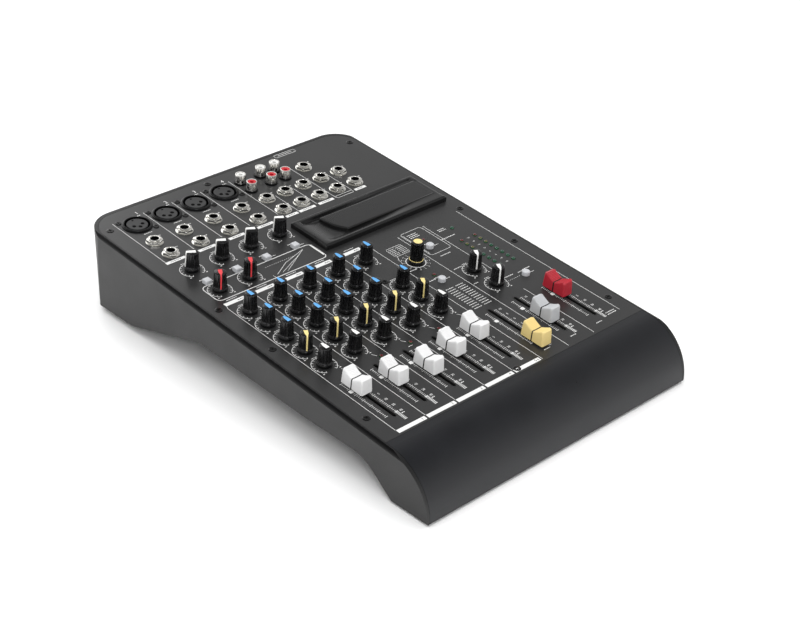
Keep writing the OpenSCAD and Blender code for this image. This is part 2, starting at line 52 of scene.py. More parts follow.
# The panel's own frame: x across, t up the slope and h out of the face, in millimetres.
mounts = {m["name"]: m for m in record["mounts"]}
panel = {"jackRow": 256, "jackMiddle": -9.4}
firstJack = mounts["channel_1_jack_front"]
tilt = math.atan2(-firstJack["axis"][1], firstJack["axis"][2])
cosTilt, sinTilt = math.cos(tilt), math.sin(tilt)
seamY = firstJack["pos_m"][1] * 1000 - panel["jackRow"] * cosTilt + panel["jackMiddle"] * sinTilt
frontZ = firstJack["pos_m"][2] * 1000 - panel["jackRow"] * sinTilt - panel["jackMiddle"] * cosTilt
toMetres = Matrix.Scale(0.001, 4)
panelPlace = toMetres @ Matrix.Translation((0, seamY, frontZ)) @ Matrix.Rotation(tilt, 4, "X")


def onPanel(point):  # metres in the frame to x, t and h
    p = panelPlace.inverted() @ Vector(point)
    return p.x, p.y, p.z


def middleOf(node):
    low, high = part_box(node)
    return onPanel((low + high) / 2)


def clamp(value, low=0.0, high=1.0):
    return max(low, min(high, value))


def ease(value, low, high):
    k = clamp((value - low) / (high - low))
    return k * k * (3 - 2 * k)


# Finishes


def addNode(tree, kind, values=None, links=None, **settings):
    node = tree.nodes.new(kind)
    for key, value in settings.items():
        setattr(node, key, value)
    for key, value in (values or {}).items():
        node.inputs[key].default_value = value
    for key, source in (links or {}).items():
        tree.links.new(source, node.inputs[key])
    return node


def newFinish(name, colour, rough, metal=0.0, grain=1500, bump=0.1, vary=0.1, roughVary=0.06,
              coat=0.0, specular=0.5, blotch=40, flecksAndGlints=None):
    finish = bpy.data.materials.new(name)
    finish.use_nodes = True
    tree = finish.node_tree
    shader = tree.nodes["Principled BSDF"]
    coords = addNode(tree, "ShaderNodeTexCoord")
    fine = addNode(tree, "ShaderNodeTexNoise", {"Scale": grain, "Detail": 3.0, "Roughness": 0.6},
                   {"Vector": coords.outputs["Object"]})
    broad = addNode(tree, "ShaderNodeTexNoise", {"Scale": blotch, "Detail": 4.0, "Roughness": 0.55},
                    {"Vector": coords.outputs["Object"]})
    both = addNode(tree, "ShaderNodeMath", {1: 0.35}, {0: fine.outputs["Fac"]}, operation="MULTIPLY")
    mixed = addNode(tree, "ShaderNodeMath", {1: 0.65}, {0: broad.outputs["Fac"], 2: both.outputs[0]},
                    operation="MULTIPLY_ADD")
    ramp = addNode(tree, "ShaderNodeValToRGB", links={"Fac": mixed.outputs[0]})
    ramp.color_ramp.elements[0].position, ramp.color_ramp.elements[1].position = 0.3, 0.7
    ramp.color_ramp.elements[0].color = (*[c * (1 - vary) for c in colour], 1)
    ramp.color_ramp.elements[1].color = (*[min(c * (1 + vary), 1) for c in colour], 1)
    colourOut = ramp.outputs["Color"]
    if flecksAndGlints:  # small pale flecks in a paint or plastic, which also serve as painted glints of a grain's sparkle
        spots = addNode(tree, "ShaderNodeTexVoronoi", {"Scale": flecksAndGlints[0]}, {"Vector": coords.outputs["Object"]})
        edge = addNode(tree, "ShaderNodeMapRange", {"From Min": 0.06, "From Max": 0.22, "To Min": flecksAndGlints[1],
                       "To Max": 0.0}, {"Value": spots.outputs["Distance"]})
        fleck = tree.nodes.new("ShaderNodeMix")
        fleck.data_type = "RGBA"
        tree.links.new(edge.outputs[0], fleck.inputs[0])
        tree.links.new(colourOut, fleck.inputs[6])
        fleck.inputs[7].default_value = (*flecksAndGlints[2], 1)
        colourOut = fleck.outputs[2]
    tree.links.new(colourOut, shader.inputs["Base Color"])
    roughMap = addNode(tree, "ShaderNodeMapRange", {"From Min": 0.3, "From Max": 0.7,
                       "To Min": max(rough - roughVary, 0.02), "To Max": min(rough + roughVary, 1.0)},
                       {"Value": mixed.outputs[0]})
    tree.links.new(roughMap.outputs[0], shader.inputs["Roughness"])
    relief = addNode(tree, "ShaderNodeBump", {"Strength": bump, "Distance": 0.00004}, {"Height": fine.outputs["Fac"]})
    tree.links.new(relief.outputs["Normal"], shader.inputs["Normal"])
    shader.inputs["Metallic"].default_value = metal
    shader.inputs["Specular IOR Level"].default_value = specular
    if coat:
        shader.inputs["Coat Weight"].default_value = coat
        shader.inputs["Coat Roughness"].default_value = 0.08
    return finish


panelPaint = newFinish("panelPaint", (0.022, 0.022, 0.0222), 0.33, grain=2600, bump=0.22, vary=0.12, specular=0.45,
                       flecksAndGlints=(900, 0.25, (0.05, 0.05, 0.052)))
caseGrain = newFinish("caseGrain", (0.005, 0.005, 0.0052), 0.42, grain=1900, bump=0.55, vary=0.14, specular=0.5)
# the lip's blue-black grained plastic; its pale flecks are partly its own grain tone and partly painted glints of the
# grain's sparkle
lipGrain = newFinish("lipGrain", (0.0042, 0.0047, 0.0066), 0.36, grain=1500, bump=1.0, vary=0.2, roughVary=0.09,
                     flecksAndGlints=(1500, 0.3, (0.03, 0.032, 0.04)))
# the case plastic on its rounded rim: glossier, and painted darker as shade standing in for the dark reflection along
# the edge
rimGlossPaintedShade = newFinish("rimGlossPaintedShade", (0.002, 0.002, 0.0022), 0.18, grain=1500, bump=0.05, vary=0.1, specular=0.18)
printWhite = newFinish("printWhite", (0.74, 0.74, 0.73), 0.5, grain=3000, bump=0.15, vary=0.06)
printBlack = newFinish("printBlack", (0.02, 0.02, 0.02), 0.5, grain=3000, bump=0.15, vary=0.1)
printYellow = newFinish("printYellow", (0.78, 0.62, 0.22), 0.45, grain=3000, bump=0.1, vary=0.05)
knobBlack = newFinish("knobBlack", (0.0022, 0.0022, 0.0025), 0.17, grain=2600, bump=0.06, vary=0.15, specular=0.5)
knobBlue = newFinish("knobBlue", (0.1, 0.36, 0.72), 0.35, grain=3000, bump=0.05, vary=0.05)
knobWhite = newFinish("knobWhite", (0.82, 0.82, 0.8), 0.35, grain=3000, bump=0.05, vary=0.04)
knobYellow = newFinish("knobYellow", (0.8, 0.65, 0.26), 0.35, grain=3000, bump=0.05, vary=0.05)
knobRed = newFinish("knobRed", (0.68, 0.035, 0.045), 0.35, grain=3000, bump=0.05, vary=0.06)
capWhite = newFinish("capWhite", (0.76, 0.76, 0.76), 0.38, grain=1800, bump=0.12, vary=0.03, blotch=90)
capYellow = newFinish("capYellow", (0.78, 0.61, 0.25), 0.38, grain=1800, bump=0.12, vary=0.03, blotch=90)
capGrey = newFinish("capGrey", (0.5, 0.51, 0.525), 0.38, grain=1800, bump=0.12, vary=0.03, blotch=90)
capRed = newFinish("capRed", (0.42, 0.018, 0.032), 0.36, grain=1800, bump=0.12, vary=0.05, blotch=90)
capLine = newFinish("capLine", (0.008, 0.008, 0.008), 0.35, grain=2500, bump=0.1, vary=0.1)
buttonGrey = newFinish("buttonGrey", (0.5, 0.51, 0.53), 0.32, grain=2000, bump=0.1, vary=0.04)
socketBlack = newFinish("socketBlack", (0.0025, 0.0025, 0.0027), 0.25, grain=1800, bump=0.12, vary=0.12, specular=0.22)
insertGrey = newFinish("insertGrey", (0.022, 0.022, 0.0225), 0.4, grain=1500, bump=0.2, vary=0.1, specular=0.3)
chromePlate = newFinish("chromePlate", (0.78, 0.77, 0.74), 0.13, metal=1.0, grain=700, bump=0.05, vary=0.04,
                        roughVary=0.04)
nutPlate = newFinish("nutPlate", (0.74, 0.73, 0.69), 0.2, metal=1.0, grain=900, bump=0.08, vary=0.06, roughVary=0.06)
boltBlack = newFinish("boltBlack", (0.03, 0.03, 0.03), 0.22, metal=0.8, grain=1500, bump=0.1, vary=0.15)
potSteel = newFinish("potSteel", (0.55, 0.54, 0.52), 0.35, metal=1.0, grain=900, bump=0.15, vary=0.08)
boardGreen = newFinish("boardGreen", (0.015, 0.11, 0.04), 0.4, grain=500, bump=0.2, vary=0.2)
holderBlack = newFinish("holderBlack", (0.0045, 0.0045, 0.0047), 0.3, grain=1700, bump=0.1, vary=0.12)
footRubber = newFinish("footRubber", (0.014, 0.014, 0.014), 0.75, grain=900, bump=0.5, vary=0.15)
inletBlack = newFinish("inletBlack", (0.013, 0.013, 0.013), 0.4, grain=1500, bump=0.3, vary=0.1)
rockerBlack = newFinish("rockerBlack", (0.01, 0.01, 0.01), 0.2, grain=1500, bump=0.1, vary=0.1, coat=0.3)
phonoRed = newFinish("phonoRed", (0.55, 0.02, 0.03), 0.4, grain=1500, bump=0.1, vary=0.06)
phonoWhite = newFinish("phonoWhite", (0.78, 0.78, 0.76), 0.4, grain=1500, bump=0.1, vary=0.04)
lampRed = newFinish("lampRed", (0.09, 0.006, 0.009), 0.25, grain=1200, bump=0.05, vary=0.1, coat=0.3)
lampYellow = newFinish("lampYellow", (0.09, 0.075, 0.025), 0.25, grain=1200, bump=0.05, vary=0.1, coat=0.3)
lampGreen = newFinish("lampGreen", (0.018, 0.06, 0.04), 0.25, grain=1200, bump=0.05, vary=0.1, coat=0.3)
print("finishes made")

# Shapes


def newShape():
    return {"points": [], "faces": [], "kinds": []}


def addPart(shape, part, kind=0, move=None):
    points, faces = part
    start = len(shape["points"])
    shape["points"] += [move @ Vector(p) if move else Vector(p) for p in points]
    shape["faces"] += [[start + i for i in f] for f in faces]
    shape["kinds"] += [kind] * len(faces)
    return shape


def at(x, y, z=0, turn=0):
    return Matrix.Translation((x, y, z)) @ Matrix.Rotation(turn, 4, "Z")


def rows(rings, ringed=False, closed=True):  # skin over rings of points that have one length, or one point
    points = [p for ring in rings for p in ring]
    starts = [sum(len(r) for r in rings[:k]) for k in range(len(rings))]
    faces = []
    pairs = [(k, k + 1) for k in range(len(rings) - 1)] + ([(len(rings) - 1, 0)] if ringed else [])
    for a, b in pairs:
        count = max(len(rings[a]), len(rings[b]))
        for i in range(count if closed else count - 1):
            j = (i + 1) % count
            low = [starts[a]] * 2 if len(rings[a]) == 1 else [starts[a] + i, starts[a] + j]
            high = [starts[b]] * 2 if len(rings[b]) == 1 else [starts[b] + j, starts[b] + i]
            faces.append(list(dict.fromkeys(low + high)))
    return points, [f for f in faces if len(f) > 2]


def lathe(profile, turns=32, ringed=False, reach=None):
    rings = []
    for r, z in profile:
        if r < 1e-6:
            rings.append([(0, 0, z)])
        else:
            spokes = [2 * math.pi * i / turns for i in range(turns)]
            rings.append([((reach(r, z, a) if reach else r) * math.cos(a),
                           (reach(r, z, a) if reach else r) * math.sin(a), z) for a in spokes])
    return rows(rings, ringed)


def outline(width, length, corner, steps=4, inset=0.0):
    corner = max(corner - inset, 0.01)
    w, l = width / 2 - inset - corner, length / 2 - inset - corner
    points = []
    for k, (sx, sy) in enumerate(((1, 1), (-1, 1), (-1, -1), (1, -1))):
        for i in range(steps + 1):
            a = math.pi / 2 * (k + i / steps)
            points.append((sx * w + corner * math.cos(a), sy * l + corner * math.sin(a)))
    return points


def stack(width, length, corner, levels, steps=4):  # levels: inset and height from the bottom up
    rings = [[(x, y, z) for x, y in outline(width, length, corner, steps, inset)] for inset, z in levels]
    points, faces = rows(rings)
    count = len(rings[0])
    faces.append(list(range(count))[::-1])
    faces.append([len(points) - count + i for i in range(count)])
    return points, faces


def platedHoles(outer, holes, height, depth):  # flat top with blind holes, each a ring of points
    flat = bmesh.new()
    loops = [[flat.verts.new((x, y, height)) for x, y in ring] for ring in [outer] + holes]
    edges = [flat.edges.new((ring[i], ring[(i + 1) % len(ring)])) for ring in loops for i in range(len(ring))]
    bmesh.ops.triangle_fill(flat, use_beauty=True, edges=edges)
    flat.verts.index_update()
    points = [tuple(v.co) for v in flat.verts]
    faces = [[v.index for v in f.verts] for f in flat.faces]
    for ring in loops[1:]:
        top = [v.index for v in ring]
        low = list(range(len(points), len(points) + len(top)))
        points += [(v.co.x, v.co.y, height - depth) for v in ring]
        faces += [[top[i], top[(i + 1) % len(top)], low[(i + 1) % len(top)], low[i]] for i in range(len(top))]
        faces.append(low)
    flat.free()
    return points, faces


def circle(radius, count, x=0.0, y=0.0):
    return [(x + radius * math.cos(2 * math.pi * i / count), y + radius * math.sin(2 * math.pi * i / count))
            for i in range(count)]


def meshOf(name, shape, finishes, place, sharp=35, weld=True):
    mesh = bpy.data.meshes.new(name)
    mesh.from_pydata([place @ p for p in shape["points"]], [], shape["faces"])
    for finish in finishes:
        mesh.materials.append(finish)
    mesh.polygons.foreach_set("material_index", shape["kinds"])
    return tidyMesh(mesh, sharp, weld)


def tidyMesh(mesh, sharp=35, weld=True, near=0.000002):
    bm = bmesh.new()
    bm.from_mesh(mesh)
    if weld:
        bmesh.ops.remove_doubles(bm, verts=bm.verts, dist=near)
    bmesh.ops.recalc_face_normals(bm, faces=bm.faces)
    for face in bm.faces:
        face.smooth = True
    for edge in bm.edges:
        if len(edge.link_faces) == 2 and edge.calc_face_angle(0.0) > math.radians(sharp):
            edge.smooth = False
    bm.to_mesh(mesh)
    bm.free()
    return mesh


def newPiece(name, mesh, body="case", replaces=()):
    piece = bpy.data.objects.new(name, mesh)
    bpy.context.scene.collection.objects.link(piece)
    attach(piece, body)
    if replaces:
        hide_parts(*replaces)
    return piece


def panelPiece(name, shape, finishes, body="case", replaces=(), sharp=35):
    return newPiece(name, meshOf(name, shape, finishes, panelPlace, sharp), body, replaces)


# Node trees for what repeats


def mathNode(tree, operation, *sources):
    node = tree.nodes.new("ShaderNodeMath")
    node.operation = operation
    for i, source in enumerate(sources):
        if isinstance(source, (int, float)):
            node.inputs[i].default_value = source
        else:
            tree.links.new(source, node.inputs[i])
    return node.outputs[0]


def newTree(name, inputs):
    tree = bpy.data.node_groups.new(name, "GeometryNodeTree")
    tree.interface.new_socket("Geometry", in_out="INPUT", socket_type="NodeSocketGeometry")
    for label, kind, value in inputs:
        socket = tree.interface.new_socket(label, in_out="INPUT", socket_type="NodeSocket" + kind)
        if value is not None:
            socket.default_value = value
    tree.interface.new_socket("Geometry", in_out="OUTPUT", socket_type="NodeSocketGeometry")
    return tree, tree.nodes.new("NodeGroupInput"), tree.nodes.new("NodeGroupOutput")


def closeTree(tree, given, result, geometry):  # every tree ends in real faces with one finish
    real = addNode(tree, "GeometryNodeRealizeInstances", links={"Geometry": geometry})
    painted = addNode(tree, "GeometryNodeSetMaterial", links={"Geometry": real.outputs[0],
                      "Material": given.outputs["Finish"]})
    tree.links.new(painted.outputs[0], result.inputs[0])
    return tree


def copyTree():  # one copy of an object on each point, turned at random when asked
    tree, given, result = newTree("copyTree", [("Copy", "Object", None), ("Largest Turn", "Float", 0.0),
                                               ("Seed", "Int", 1), ("Finish", "Material", None)])
    source = addNode(tree, "GeometryNodeObjectInfo", links={"Object": given.outputs["Copy"]})
    turn = addNode(tree, "FunctionNodeRandomValue", data_type="FLOAT")
    tree.links.new(given.outputs["Largest Turn"], turn.inputs[3])
    tree.links.new(given.outputs["Seed"], turn.inputs[8])
    euler = addNode(tree, "ShaderNodeCombineXYZ", links={"Z": turn.outputs[1]})
    placed = addNode(tree, "GeometryNodeInstanceOnPoints", links={"Points": given.outputs["Geometry"],
                     "Instance": source.outputs["Geometry"], "Rotation": euler.outputs[0]})
    return closeTree(tree, given, result, placed.outputs[0])


def scaleTree():  # a column of ticks at each point, every fifth one longer
    tree, given, result = newTree("scaleTree", [("Count", "Int", 31), ("Pitch", "Float", 1.5),
                                  ("Short Tick", "Float", 1.2), ("Long Tick", "Float", 2.0),
                                  ("Line Width", "Float", 0.3), ("Finish", "Material", None)])
    step = addNode(tree, "ShaderNodeCombineXYZ", links={"Y": given.outputs["Pitch"]})
    column = addNode(tree, "GeometryNodeMeshLine", links={"Count": given.outputs["Count"], "Offset": step.outputs[0]})
    tick = addNode(tree, "GeometryNodeMeshGrid", {"Vertices X": 2, "Vertices Y": 2, "Size X": 1.0},
                   {"Size Y": given.outputs["Line Width"]})
    index = addNode(tree, "GeometryNodeInputIndex")
    fifth = mathNode(tree, "COMPARE", mathNode(tree, "MODULO", index.outputs[0], 5.0), 0.0, 0.1)
    extra = mathNode(tree, "SUBTRACT", given.outputs["Long Tick"], given.outputs["Short Tick"])
    reach = mathNode(tree, "MULTIPLY_ADD", fifth, extra, given.outputs["Short Tick"])
    size = addNode(tree, "ShaderNodeCombineXYZ", {"Y": 1.0, "Z": 1.0}, {"X": reach})
    ticks = addNode(tree, "GeometryNodeInstanceOnPoints", links={"Points": column.outputs[0],
                    "Instance": tick.outputs[0], "Scale": size.outputs[0]})
    placed = addNode(tree, "GeometryNodeInstanceOnPoints", links={"Points": given.outputs["Geometry"],
                     "Instance": ticks.outputs[0]})
    return closeTree(tree, given, result, placed.outputs[0])


def dialTree():  # an open ring round each knob, with short ticks inside it
    tree, given, result = newTree("dialTree", [("Radius", "Float", 8.9), ("Sweep", "Float", 5.24),
                                  ("Line Width", "Float", 0.35),
                                  ("Ticks", "Int", 11), ("Tick Length", "Float", 1.2), ("Finish", "Material", None)])
    band = addNode(tree, "GeometryNodeMeshGrid", {"Size X": 1.0, "Size Y": 1.0, "Vertices X": 41, "Vertices Y": 2})
    place = addNode(tree, "GeometryNodeInputPosition")
    parts = addNode(tree, "ShaderNodeSeparateXYZ", links={"Vector": place.outputs[0]})

    def polar(share, radius):  # share runs from -0.5 to 0.5 round the sweep
        angle = mathNode(tree, "ADD", mathNode(tree, "MULTIPLY", share, given.outputs["Sweep"]), math.pi / 2)
        return angle, addNode(tree, "ShaderNodeCombineXYZ", links={
            "X": mathNode(tree, "MULTIPLY", radius, mathNode(tree, "COSINE", angle)),
            "Y": mathNode(tree, "MULTIPLY", radius, mathNode(tree, "SINE", angle))})

    radius = mathNode(tree, "MULTIPLY_ADD", parts.outputs["Y"], given.outputs["Line Width"], given.outputs["Radius"])
    ring = addNode(tree, "GeometryNodeSetPosition", links={"Geometry": band.outputs[0],
                   "Position": polar(parts.outputs["X"], radius)[1].outputs[0]})
    dots = addNode(tree, "GeometryNodeMeshLine", {"Start Location": (0, 0, 0), "Offset": (0, 0, 0)},
                   {"Count": given.outputs["Ticks"]})
    index = addNode(tree, "GeometryNodeInputIndex")
    last = mathNode(tree, "SUBTRACT", given.outputs["Ticks"], 1.0)
    share = mathNode(tree, "SUBTRACT", mathNode(tree, "DIVIDE", index.outputs[0], last), 0.5)
    halfTick = mathNode(tree, "MULTIPLY", given.outputs["Tick Length"], 0.5)
    inner = mathNode(tree, "SUBTRACT", given.outputs["Radius"], halfTick)
    angle, spot = polar(share, inner)
    spread = addNode(tree, "GeometryNodeSetPosition", links={"Geometry": dots.outputs[0], "Position": spot.outputs[0]})
    tick = addNode(tree, "GeometryNodeMeshGrid", {"Vertices X": 2, "Vertices Y": 2},
                   {"Size X": given.outputs["Tick Length"], "Size Y": given.outputs["Line Width"]})
    euler = addNode(tree, "ShaderNodeCombineXYZ", links={"Z": angle})
    ticks = addNode(tree, "GeometryNodeInstanceOnPoints", links={"Points": spread.outputs[0],
                    "Instance": tick.outputs[0], "Rotation": euler.outputs[0]})
    joined = addNode(tree, "GeometryNodeJoinGeometry")
    tree.links.new(ring.outputs[0], joined.inputs[0])
    tree.links.new(ticks.outputs[0], joined.inputs[0])
    placed = addNode(tree, "GeometryNodeInstanceOnPoints", links={"Points": given.outputs["Geometry"],
                     "Instance": joined.outputs[0]})
    return closeTree(tree, given, result, placed.outputs[0])


trees = {"copy": copyTree(), "scale": scaleTree(), "dial": dialTree()}


def grow(tree, places, settings, thick=0.0):  # runs a tree on points and gives back a plain mesh in the panel's frame
    seed = bpy.data.meshes.new("places")
    seed.from_pydata([tuple(p) for p in places], [], [])
    holder = bpy.data.objects.new("holder", seed)
    bpy.context.scene.collection.objects.link(holder)
    modifier = holder.modifiers.new("grow", "NODES")
    modifier.node_group = tree
    sockets = {s.name: s.identifier for s in tree.interface.items_tree
               if s.item_type == "SOCKET" and s.in_out == "INPUT"}
    for label, value in settings.items():
        modifier[sockets[label]] = value
    holder.data.update()
    mesh = bpy.data.meshes.new_from_object(holder.evaluated_get(bpy.context.evaluated_depsgraph_get()))
    bpy.data.objects.remove(holder)
    if thick:
        mesh = thicken(mesh, thick)
    mesh.transform(panelPlace)
    return mesh


def thicken(mesh, thick):  # flat faces become a thin closed layer
    bm = bmesh.new()
    bm.from_mesh(mesh)
    bmesh.ops.remove_doubles(bm, verts=bm.verts, dist=0.0005)
    made = bmesh.ops.extrude_face_region(bm, geom=bm.faces[:], use_keep_orig=True)
    for v in [g for g in made["geom"] if isinstance(g, bmesh.types.BMVert)]:
        v.co.z += thick
    bmesh.ops.recalc_face_normals(bm, faces=bm.faces)
    bm.to_mesh(mesh)
    bm.free()
    return mesh


def copies(name, shape, places, finish, replaces=(), largestTurn=0.0, seed=1, sharp=35):
    template = bpy.data.objects.new("template", meshOf("template", shape, [finish], Matrix(), sharp, weld=False))
    bpy.context.scene.collection.objects.link(template)
    mesh = grow(trees["copy"], places, {"Copy": template, "Largest Turn": largestTurn, "Seed": seed, "Finish": finish})
    bpy.data.objects.remove(template)
    mesh.name = name
    return newPiece(name, mesh, "case", replaces)


# Printed graphics

prints = {"ink": 0.03, "line": 0.32, "dialRadius": 8.9, "scaleTicks": 31}
stripX = [-101.4 + 27 * i for i in range(5)]
dividerX = [-111.5, -85.2, -58.2, -31.3, -3.9, 22.4]


def bar(shape, x1, t1, x2, t2):
    base = outline(abs(x2 - x1), abs(t2 - t1), 0.12, 1)
    low, top = [(x, y, 0) for x, y in base], [(x, y, prints["ink"]) for x, y in base]
    points, faces = rows([low, top])
    n = len(base)
    return addPart(shape, (points, faces + [list(range(n))[::-1], list(range(n, 2 * n))]), 0,
                   at((x1 + x2) / 2, (t1 + t2) / 2))


def stroke(shape, x1, t1, x2, t2, width=None):
    width = width or prints["line"]
    run = math.hypot(x2 - x1, t2 - t1)
    part = newShape()
    bar(part, -run / 2, -width / 2, run / 2, width / 2)
    return addPart(shape, (part["points"], part["faces"]), 0,
                   at((x1 + x2) / 2, (t1 + t2) / 2, 0, math.atan2(t2 - t1, x2 - x1)))


def path(shape, points, width=None):
    for (x1, t1), (x2, t2) in zip(points, points[1:]):
        stroke(shape, x1, t1, x2, t2, width)


def frameBox(shape, x1, t1, x2, t2, corner, width=None):
    ring = [((x1 + x2) / 2 + x, (t1 + t2) / 2 + y) for x, y in outline(x2 - x1, t2 - t1, corner, 4)]
    path(shape, ring + ring[:1], width)


glyphs = {}


def numeral(shape, text, x, t, size):
    if text not in glyphs:
        curve = bpy.data.curves.new("numeral", "FONT")
        curve.body, curve.align_x, curve.align_y, curve.resolution_u = text, "CENTER", "CENTER", 3
        holder = bpy.data.objects.new("numeral", curve)
        bpy.context.scene.collection.objects.link(holder)
        mesh = bpy.data.meshes.new_from_object(holder.evaluated_get(bpy.context.evaluated_depsgraph_get()))
        bpy.data.objects.remove(holder)
        thicken(mesh, 0.05)
        glyphs[text] = ([tuple(v.co) for v in mesh.vertices], [list(p.vertices) for p in mesh.polygons])
    grown = Matrix.Diagonal((size, size, prints["ink"] / 0.05, 1))
    addPart(shape, glyphs[text], 0, at(x, t) @ grown)


def words(shape, x, t, width, height=1.3, seed=0):  # a word becomes a row of plain dashes
    chance = random.Random(seed)
    left = x - width / 2
    while left < x + width / 2 - 0.4:
        run = chance.uniform(0.7, 1.5)
        bar(shape, left, t - height / 4, min(left + run, x + width / 2), t + height / 4)
        left += run + 0.45


art, darkArt = newShape(), newShape()
path(art, [(-111.5, 5.3), (-111.5, 176), (-110.5, 179)])
for x in dividerX[1:]:
    stroke(art, x, 5.3 if x < 22 else 1.9, x, 179)
stroke(art, 48.8, 1.9, 48.8, 175.5)
stroke(art, 75.5, 2.2, 75.5, 70.5)
stroke(art, 75.5, 102, 75.5, 176.6)
stroke(art, 112, 10.3, 112, 177)
for x, t, width in [(83.5, 165, 7), (83.5, 163, 7), (80, 153.6, 15), (104.5, 13, 9), (104.5, 10.8, 9), (62, 137.5, 10),
                    (60, 172.5, 9), (60, 170.4, 9), (60, 168.3, 9), (27, 117.5, 11), (56, 118.5, 8), (52.5, 96, 4),
                    (78.5, 88.5, 9), (97, 88.5, 8), (34, 8.5, 6), (61, 8.5, 6), (88, 8.5, 6), (27, 135.5, 9)]:
    words(art, x, t, width, 1.4, seed=int(x + t))
for i, (x1, x2) in enumerate(zip(dividerX, dividerX[1:])):
    bar(art, x1 + 0.2, 1.8, x2 - 1.4, 5.2)
    numeral(darkArt, str(i + 1) if i < 4 else "5-6", x2 - 4.2, 3.5, 3.0)
for i, (x1, x2) in enumerate([(-110.6, -93), (-83.2, -66.1), (-55.7, -39.5), (-28.4, -12.6), (-0.8, 15.9)]):
    bar(art, x1, 179, x2, 182.5)
    words(darkArt, x2 - 4, 180.7, 4.5, 1.6, seed=20 + i)
    words(art, (x1 + x2) / 2, 184.5, 9, seed=i)
frameBox(art, -111, 186.6, -10.5, 207.6, 4, 0.6)
stroke(art, -11.2, 190, -11.2, 206, 1.7)
path(art, [(-55.8, 189.5), (-41.3, 198), (-19.5, 204.6)])
stroke(art, -50.8, 189.5, -26.4, 200.6, 0.25)
stroke(art, -46.8, 188.8, -19.5, 204.6, 0.25)
stroke(art, -59.5, 190.1, -58.7, 183)
for i in range(14):
    bar(art, -57.4 + 1.95 * i, 201.4, -56.5 + 1.95 * i, 201.7)
path(art, [(-111, 313.8), (-111, 249), (-110.2, 247)])
for x1, x2 in [(-111.6, -94.4), (-82.4, -66.8), (-54.5, -39.9), (-27.8, -12.5), (0.1, 11.8), (13.3, 29), (32.7, 47.6),
               (69.7, 80.8)]:
    bar(art, x1, 245.5, x2, 248.4)
    words(darkArt, (x1 + x2) / 2, 247, (x2 - x1) * 0.55, 1.3, seed=int(x1))
frameBox(art, 50.5, 245.5, 67.6, 248.4, 1.2, 0.35)
for x in (-83.3, -56.8, -30, -2.5):
    stroke(art, x, 249, x, 314)
for x in (13.5, 31.8, 67.8):
    stroke(art, x, 248.5, x, 276)
stroke(art, 50, 247, 50, 301)
frameBox(art, 51.6, 321, 72.4, 325, 1.5, 0.35)
words(art, 62, 323, 14, seed=9)
frameBox(art, 52, 142.3, 73, 176.8, 2.5)
stroke(art, 53, 144.5, 53, 174.5, 0.3)
frameBox(art, 29, 156, 43.5, 167.5, 1.4)
path(art, [(30.5, 156), (27.5, 151), (27.5, 147.8)])
for i in range(5):
    for j in range(2):
        words(art, 32.8 + 7 * j, 157.9 + 1.9 * i, 5.4, 1.1, seed=i * 3 + j)
for i in range(12):
    for j, x in enumerate((31.5, 41.2)):
        words(art, x, 73 + 2.65 * i, 7.2, 1.3, seed=40 + i * 2 + j)
for i in range(7):
    bar(art, 73.5 + 1.9 * i, 83.8, 74.4 + 1.9 * i, 84.1)
for i, x in enumerate(stripX):
    stroke(art, x + 6.2, 76, x + 8.4, 72.6, 0.3)
    words(art, x + 7.6, 67.4, 3.6, 1.1, seed=60 + i)
for i in range(4):
    numeral(art, str(i + 1), -87.4 + 27 * i, 316.4, 5)
    words(art, -89.5 + 27 * i, 312.6, 5.5, 1.5, seed=90 + i)
    words(art, -97.1 + 27 * i, 288.6, 7, seed=70 + i)
for i in range(8):
    numeral(art, ("-20", "-10", "-5", "0", "+3", "+6", "+9", "+12")[i], 92, 103.3 + 5.77 * i, 1.9)
for m in mounts.values():
    if "jack" in m["name"]:
        x, t, h = onPanel(m["pos_m"])
        words(art, x + 7.2, t + 5.6, 5.6, 1.5, seed=int(x * 7 + t))
for node in ("low_cut_button_1", "low_cut_button_2", "low_cut_button_3", "low_cut_button_4",
             "effect_button", "return_button", "talk_button"):
    x, t, h = middleOf(node)
    words(art, x, t + 5, 6, 1.3, seed=int(t))
    words(art, x + 6.5, t, 4, 1.1, seed=int(t) + 1)
knobNodes = [n for n in frame["nodes"] if "knob" in n]
# degrees from straight back; the other knobs rest fully down
restPointer = {"pan": 0, "low": 0, "mid": 0, "high": 0, "gain": -60}
dialPlaces = []
for node in knobNodes:
    x, t, h = middleOf(node)
    dialPlaces.append((x, t, 0.0))
    for side in (-1, 1):
        bar(art, x + side * 7.1 - 0.7, t - 8.4, x + side * 7.1 + 0.7, t - 7.8)
        numeral(art, "+" if side > 0 else "-", x + side * 7, t - 6.6, 2)
    words(art, x, t + 10.1, 5.2, 1.1, seed=int(x + t))
faderNodes = [n for n in frame["nodes"] if "fader" in n]
slotMiddle = 41.3
for node in faderNodes:
    x, t, h = middleOf(node)
    for i, label in enumerate(("10", "5", "0", "5", "10", "20", "40")):
        numeral(art, label, x + 7.4, 62 - 7.2 * i, 2.6)
    bar(art, x - 7.1, 51.6, x - 4, 54.2)
    for i in range(9):
        bar(art, x + 2.6, 10.2 + 1.15 * i, x + 5.2, 10.7 + 1.15 * i)
    words(art, x + 6.9, 16.3, 2.4, 1.6, seed=5)
selectorX, selectorT, h = middleOf("effect_selector")
for i in range(16):
    a = 2 * math.pi * i / 16
    numeral(art, str(i + 1), selectorX + 10.6 * math.sin(a), selectorT + 10.6 * math.cos(a), 1.7)
    stroke(art, selectorX + 8.2 * math.sin(a), selectorT + 8.2 * math.cos(a), selectorX + 9.3 * math.sin(a),
           selectorT + 9.3 * math.cos(a), 0.3)
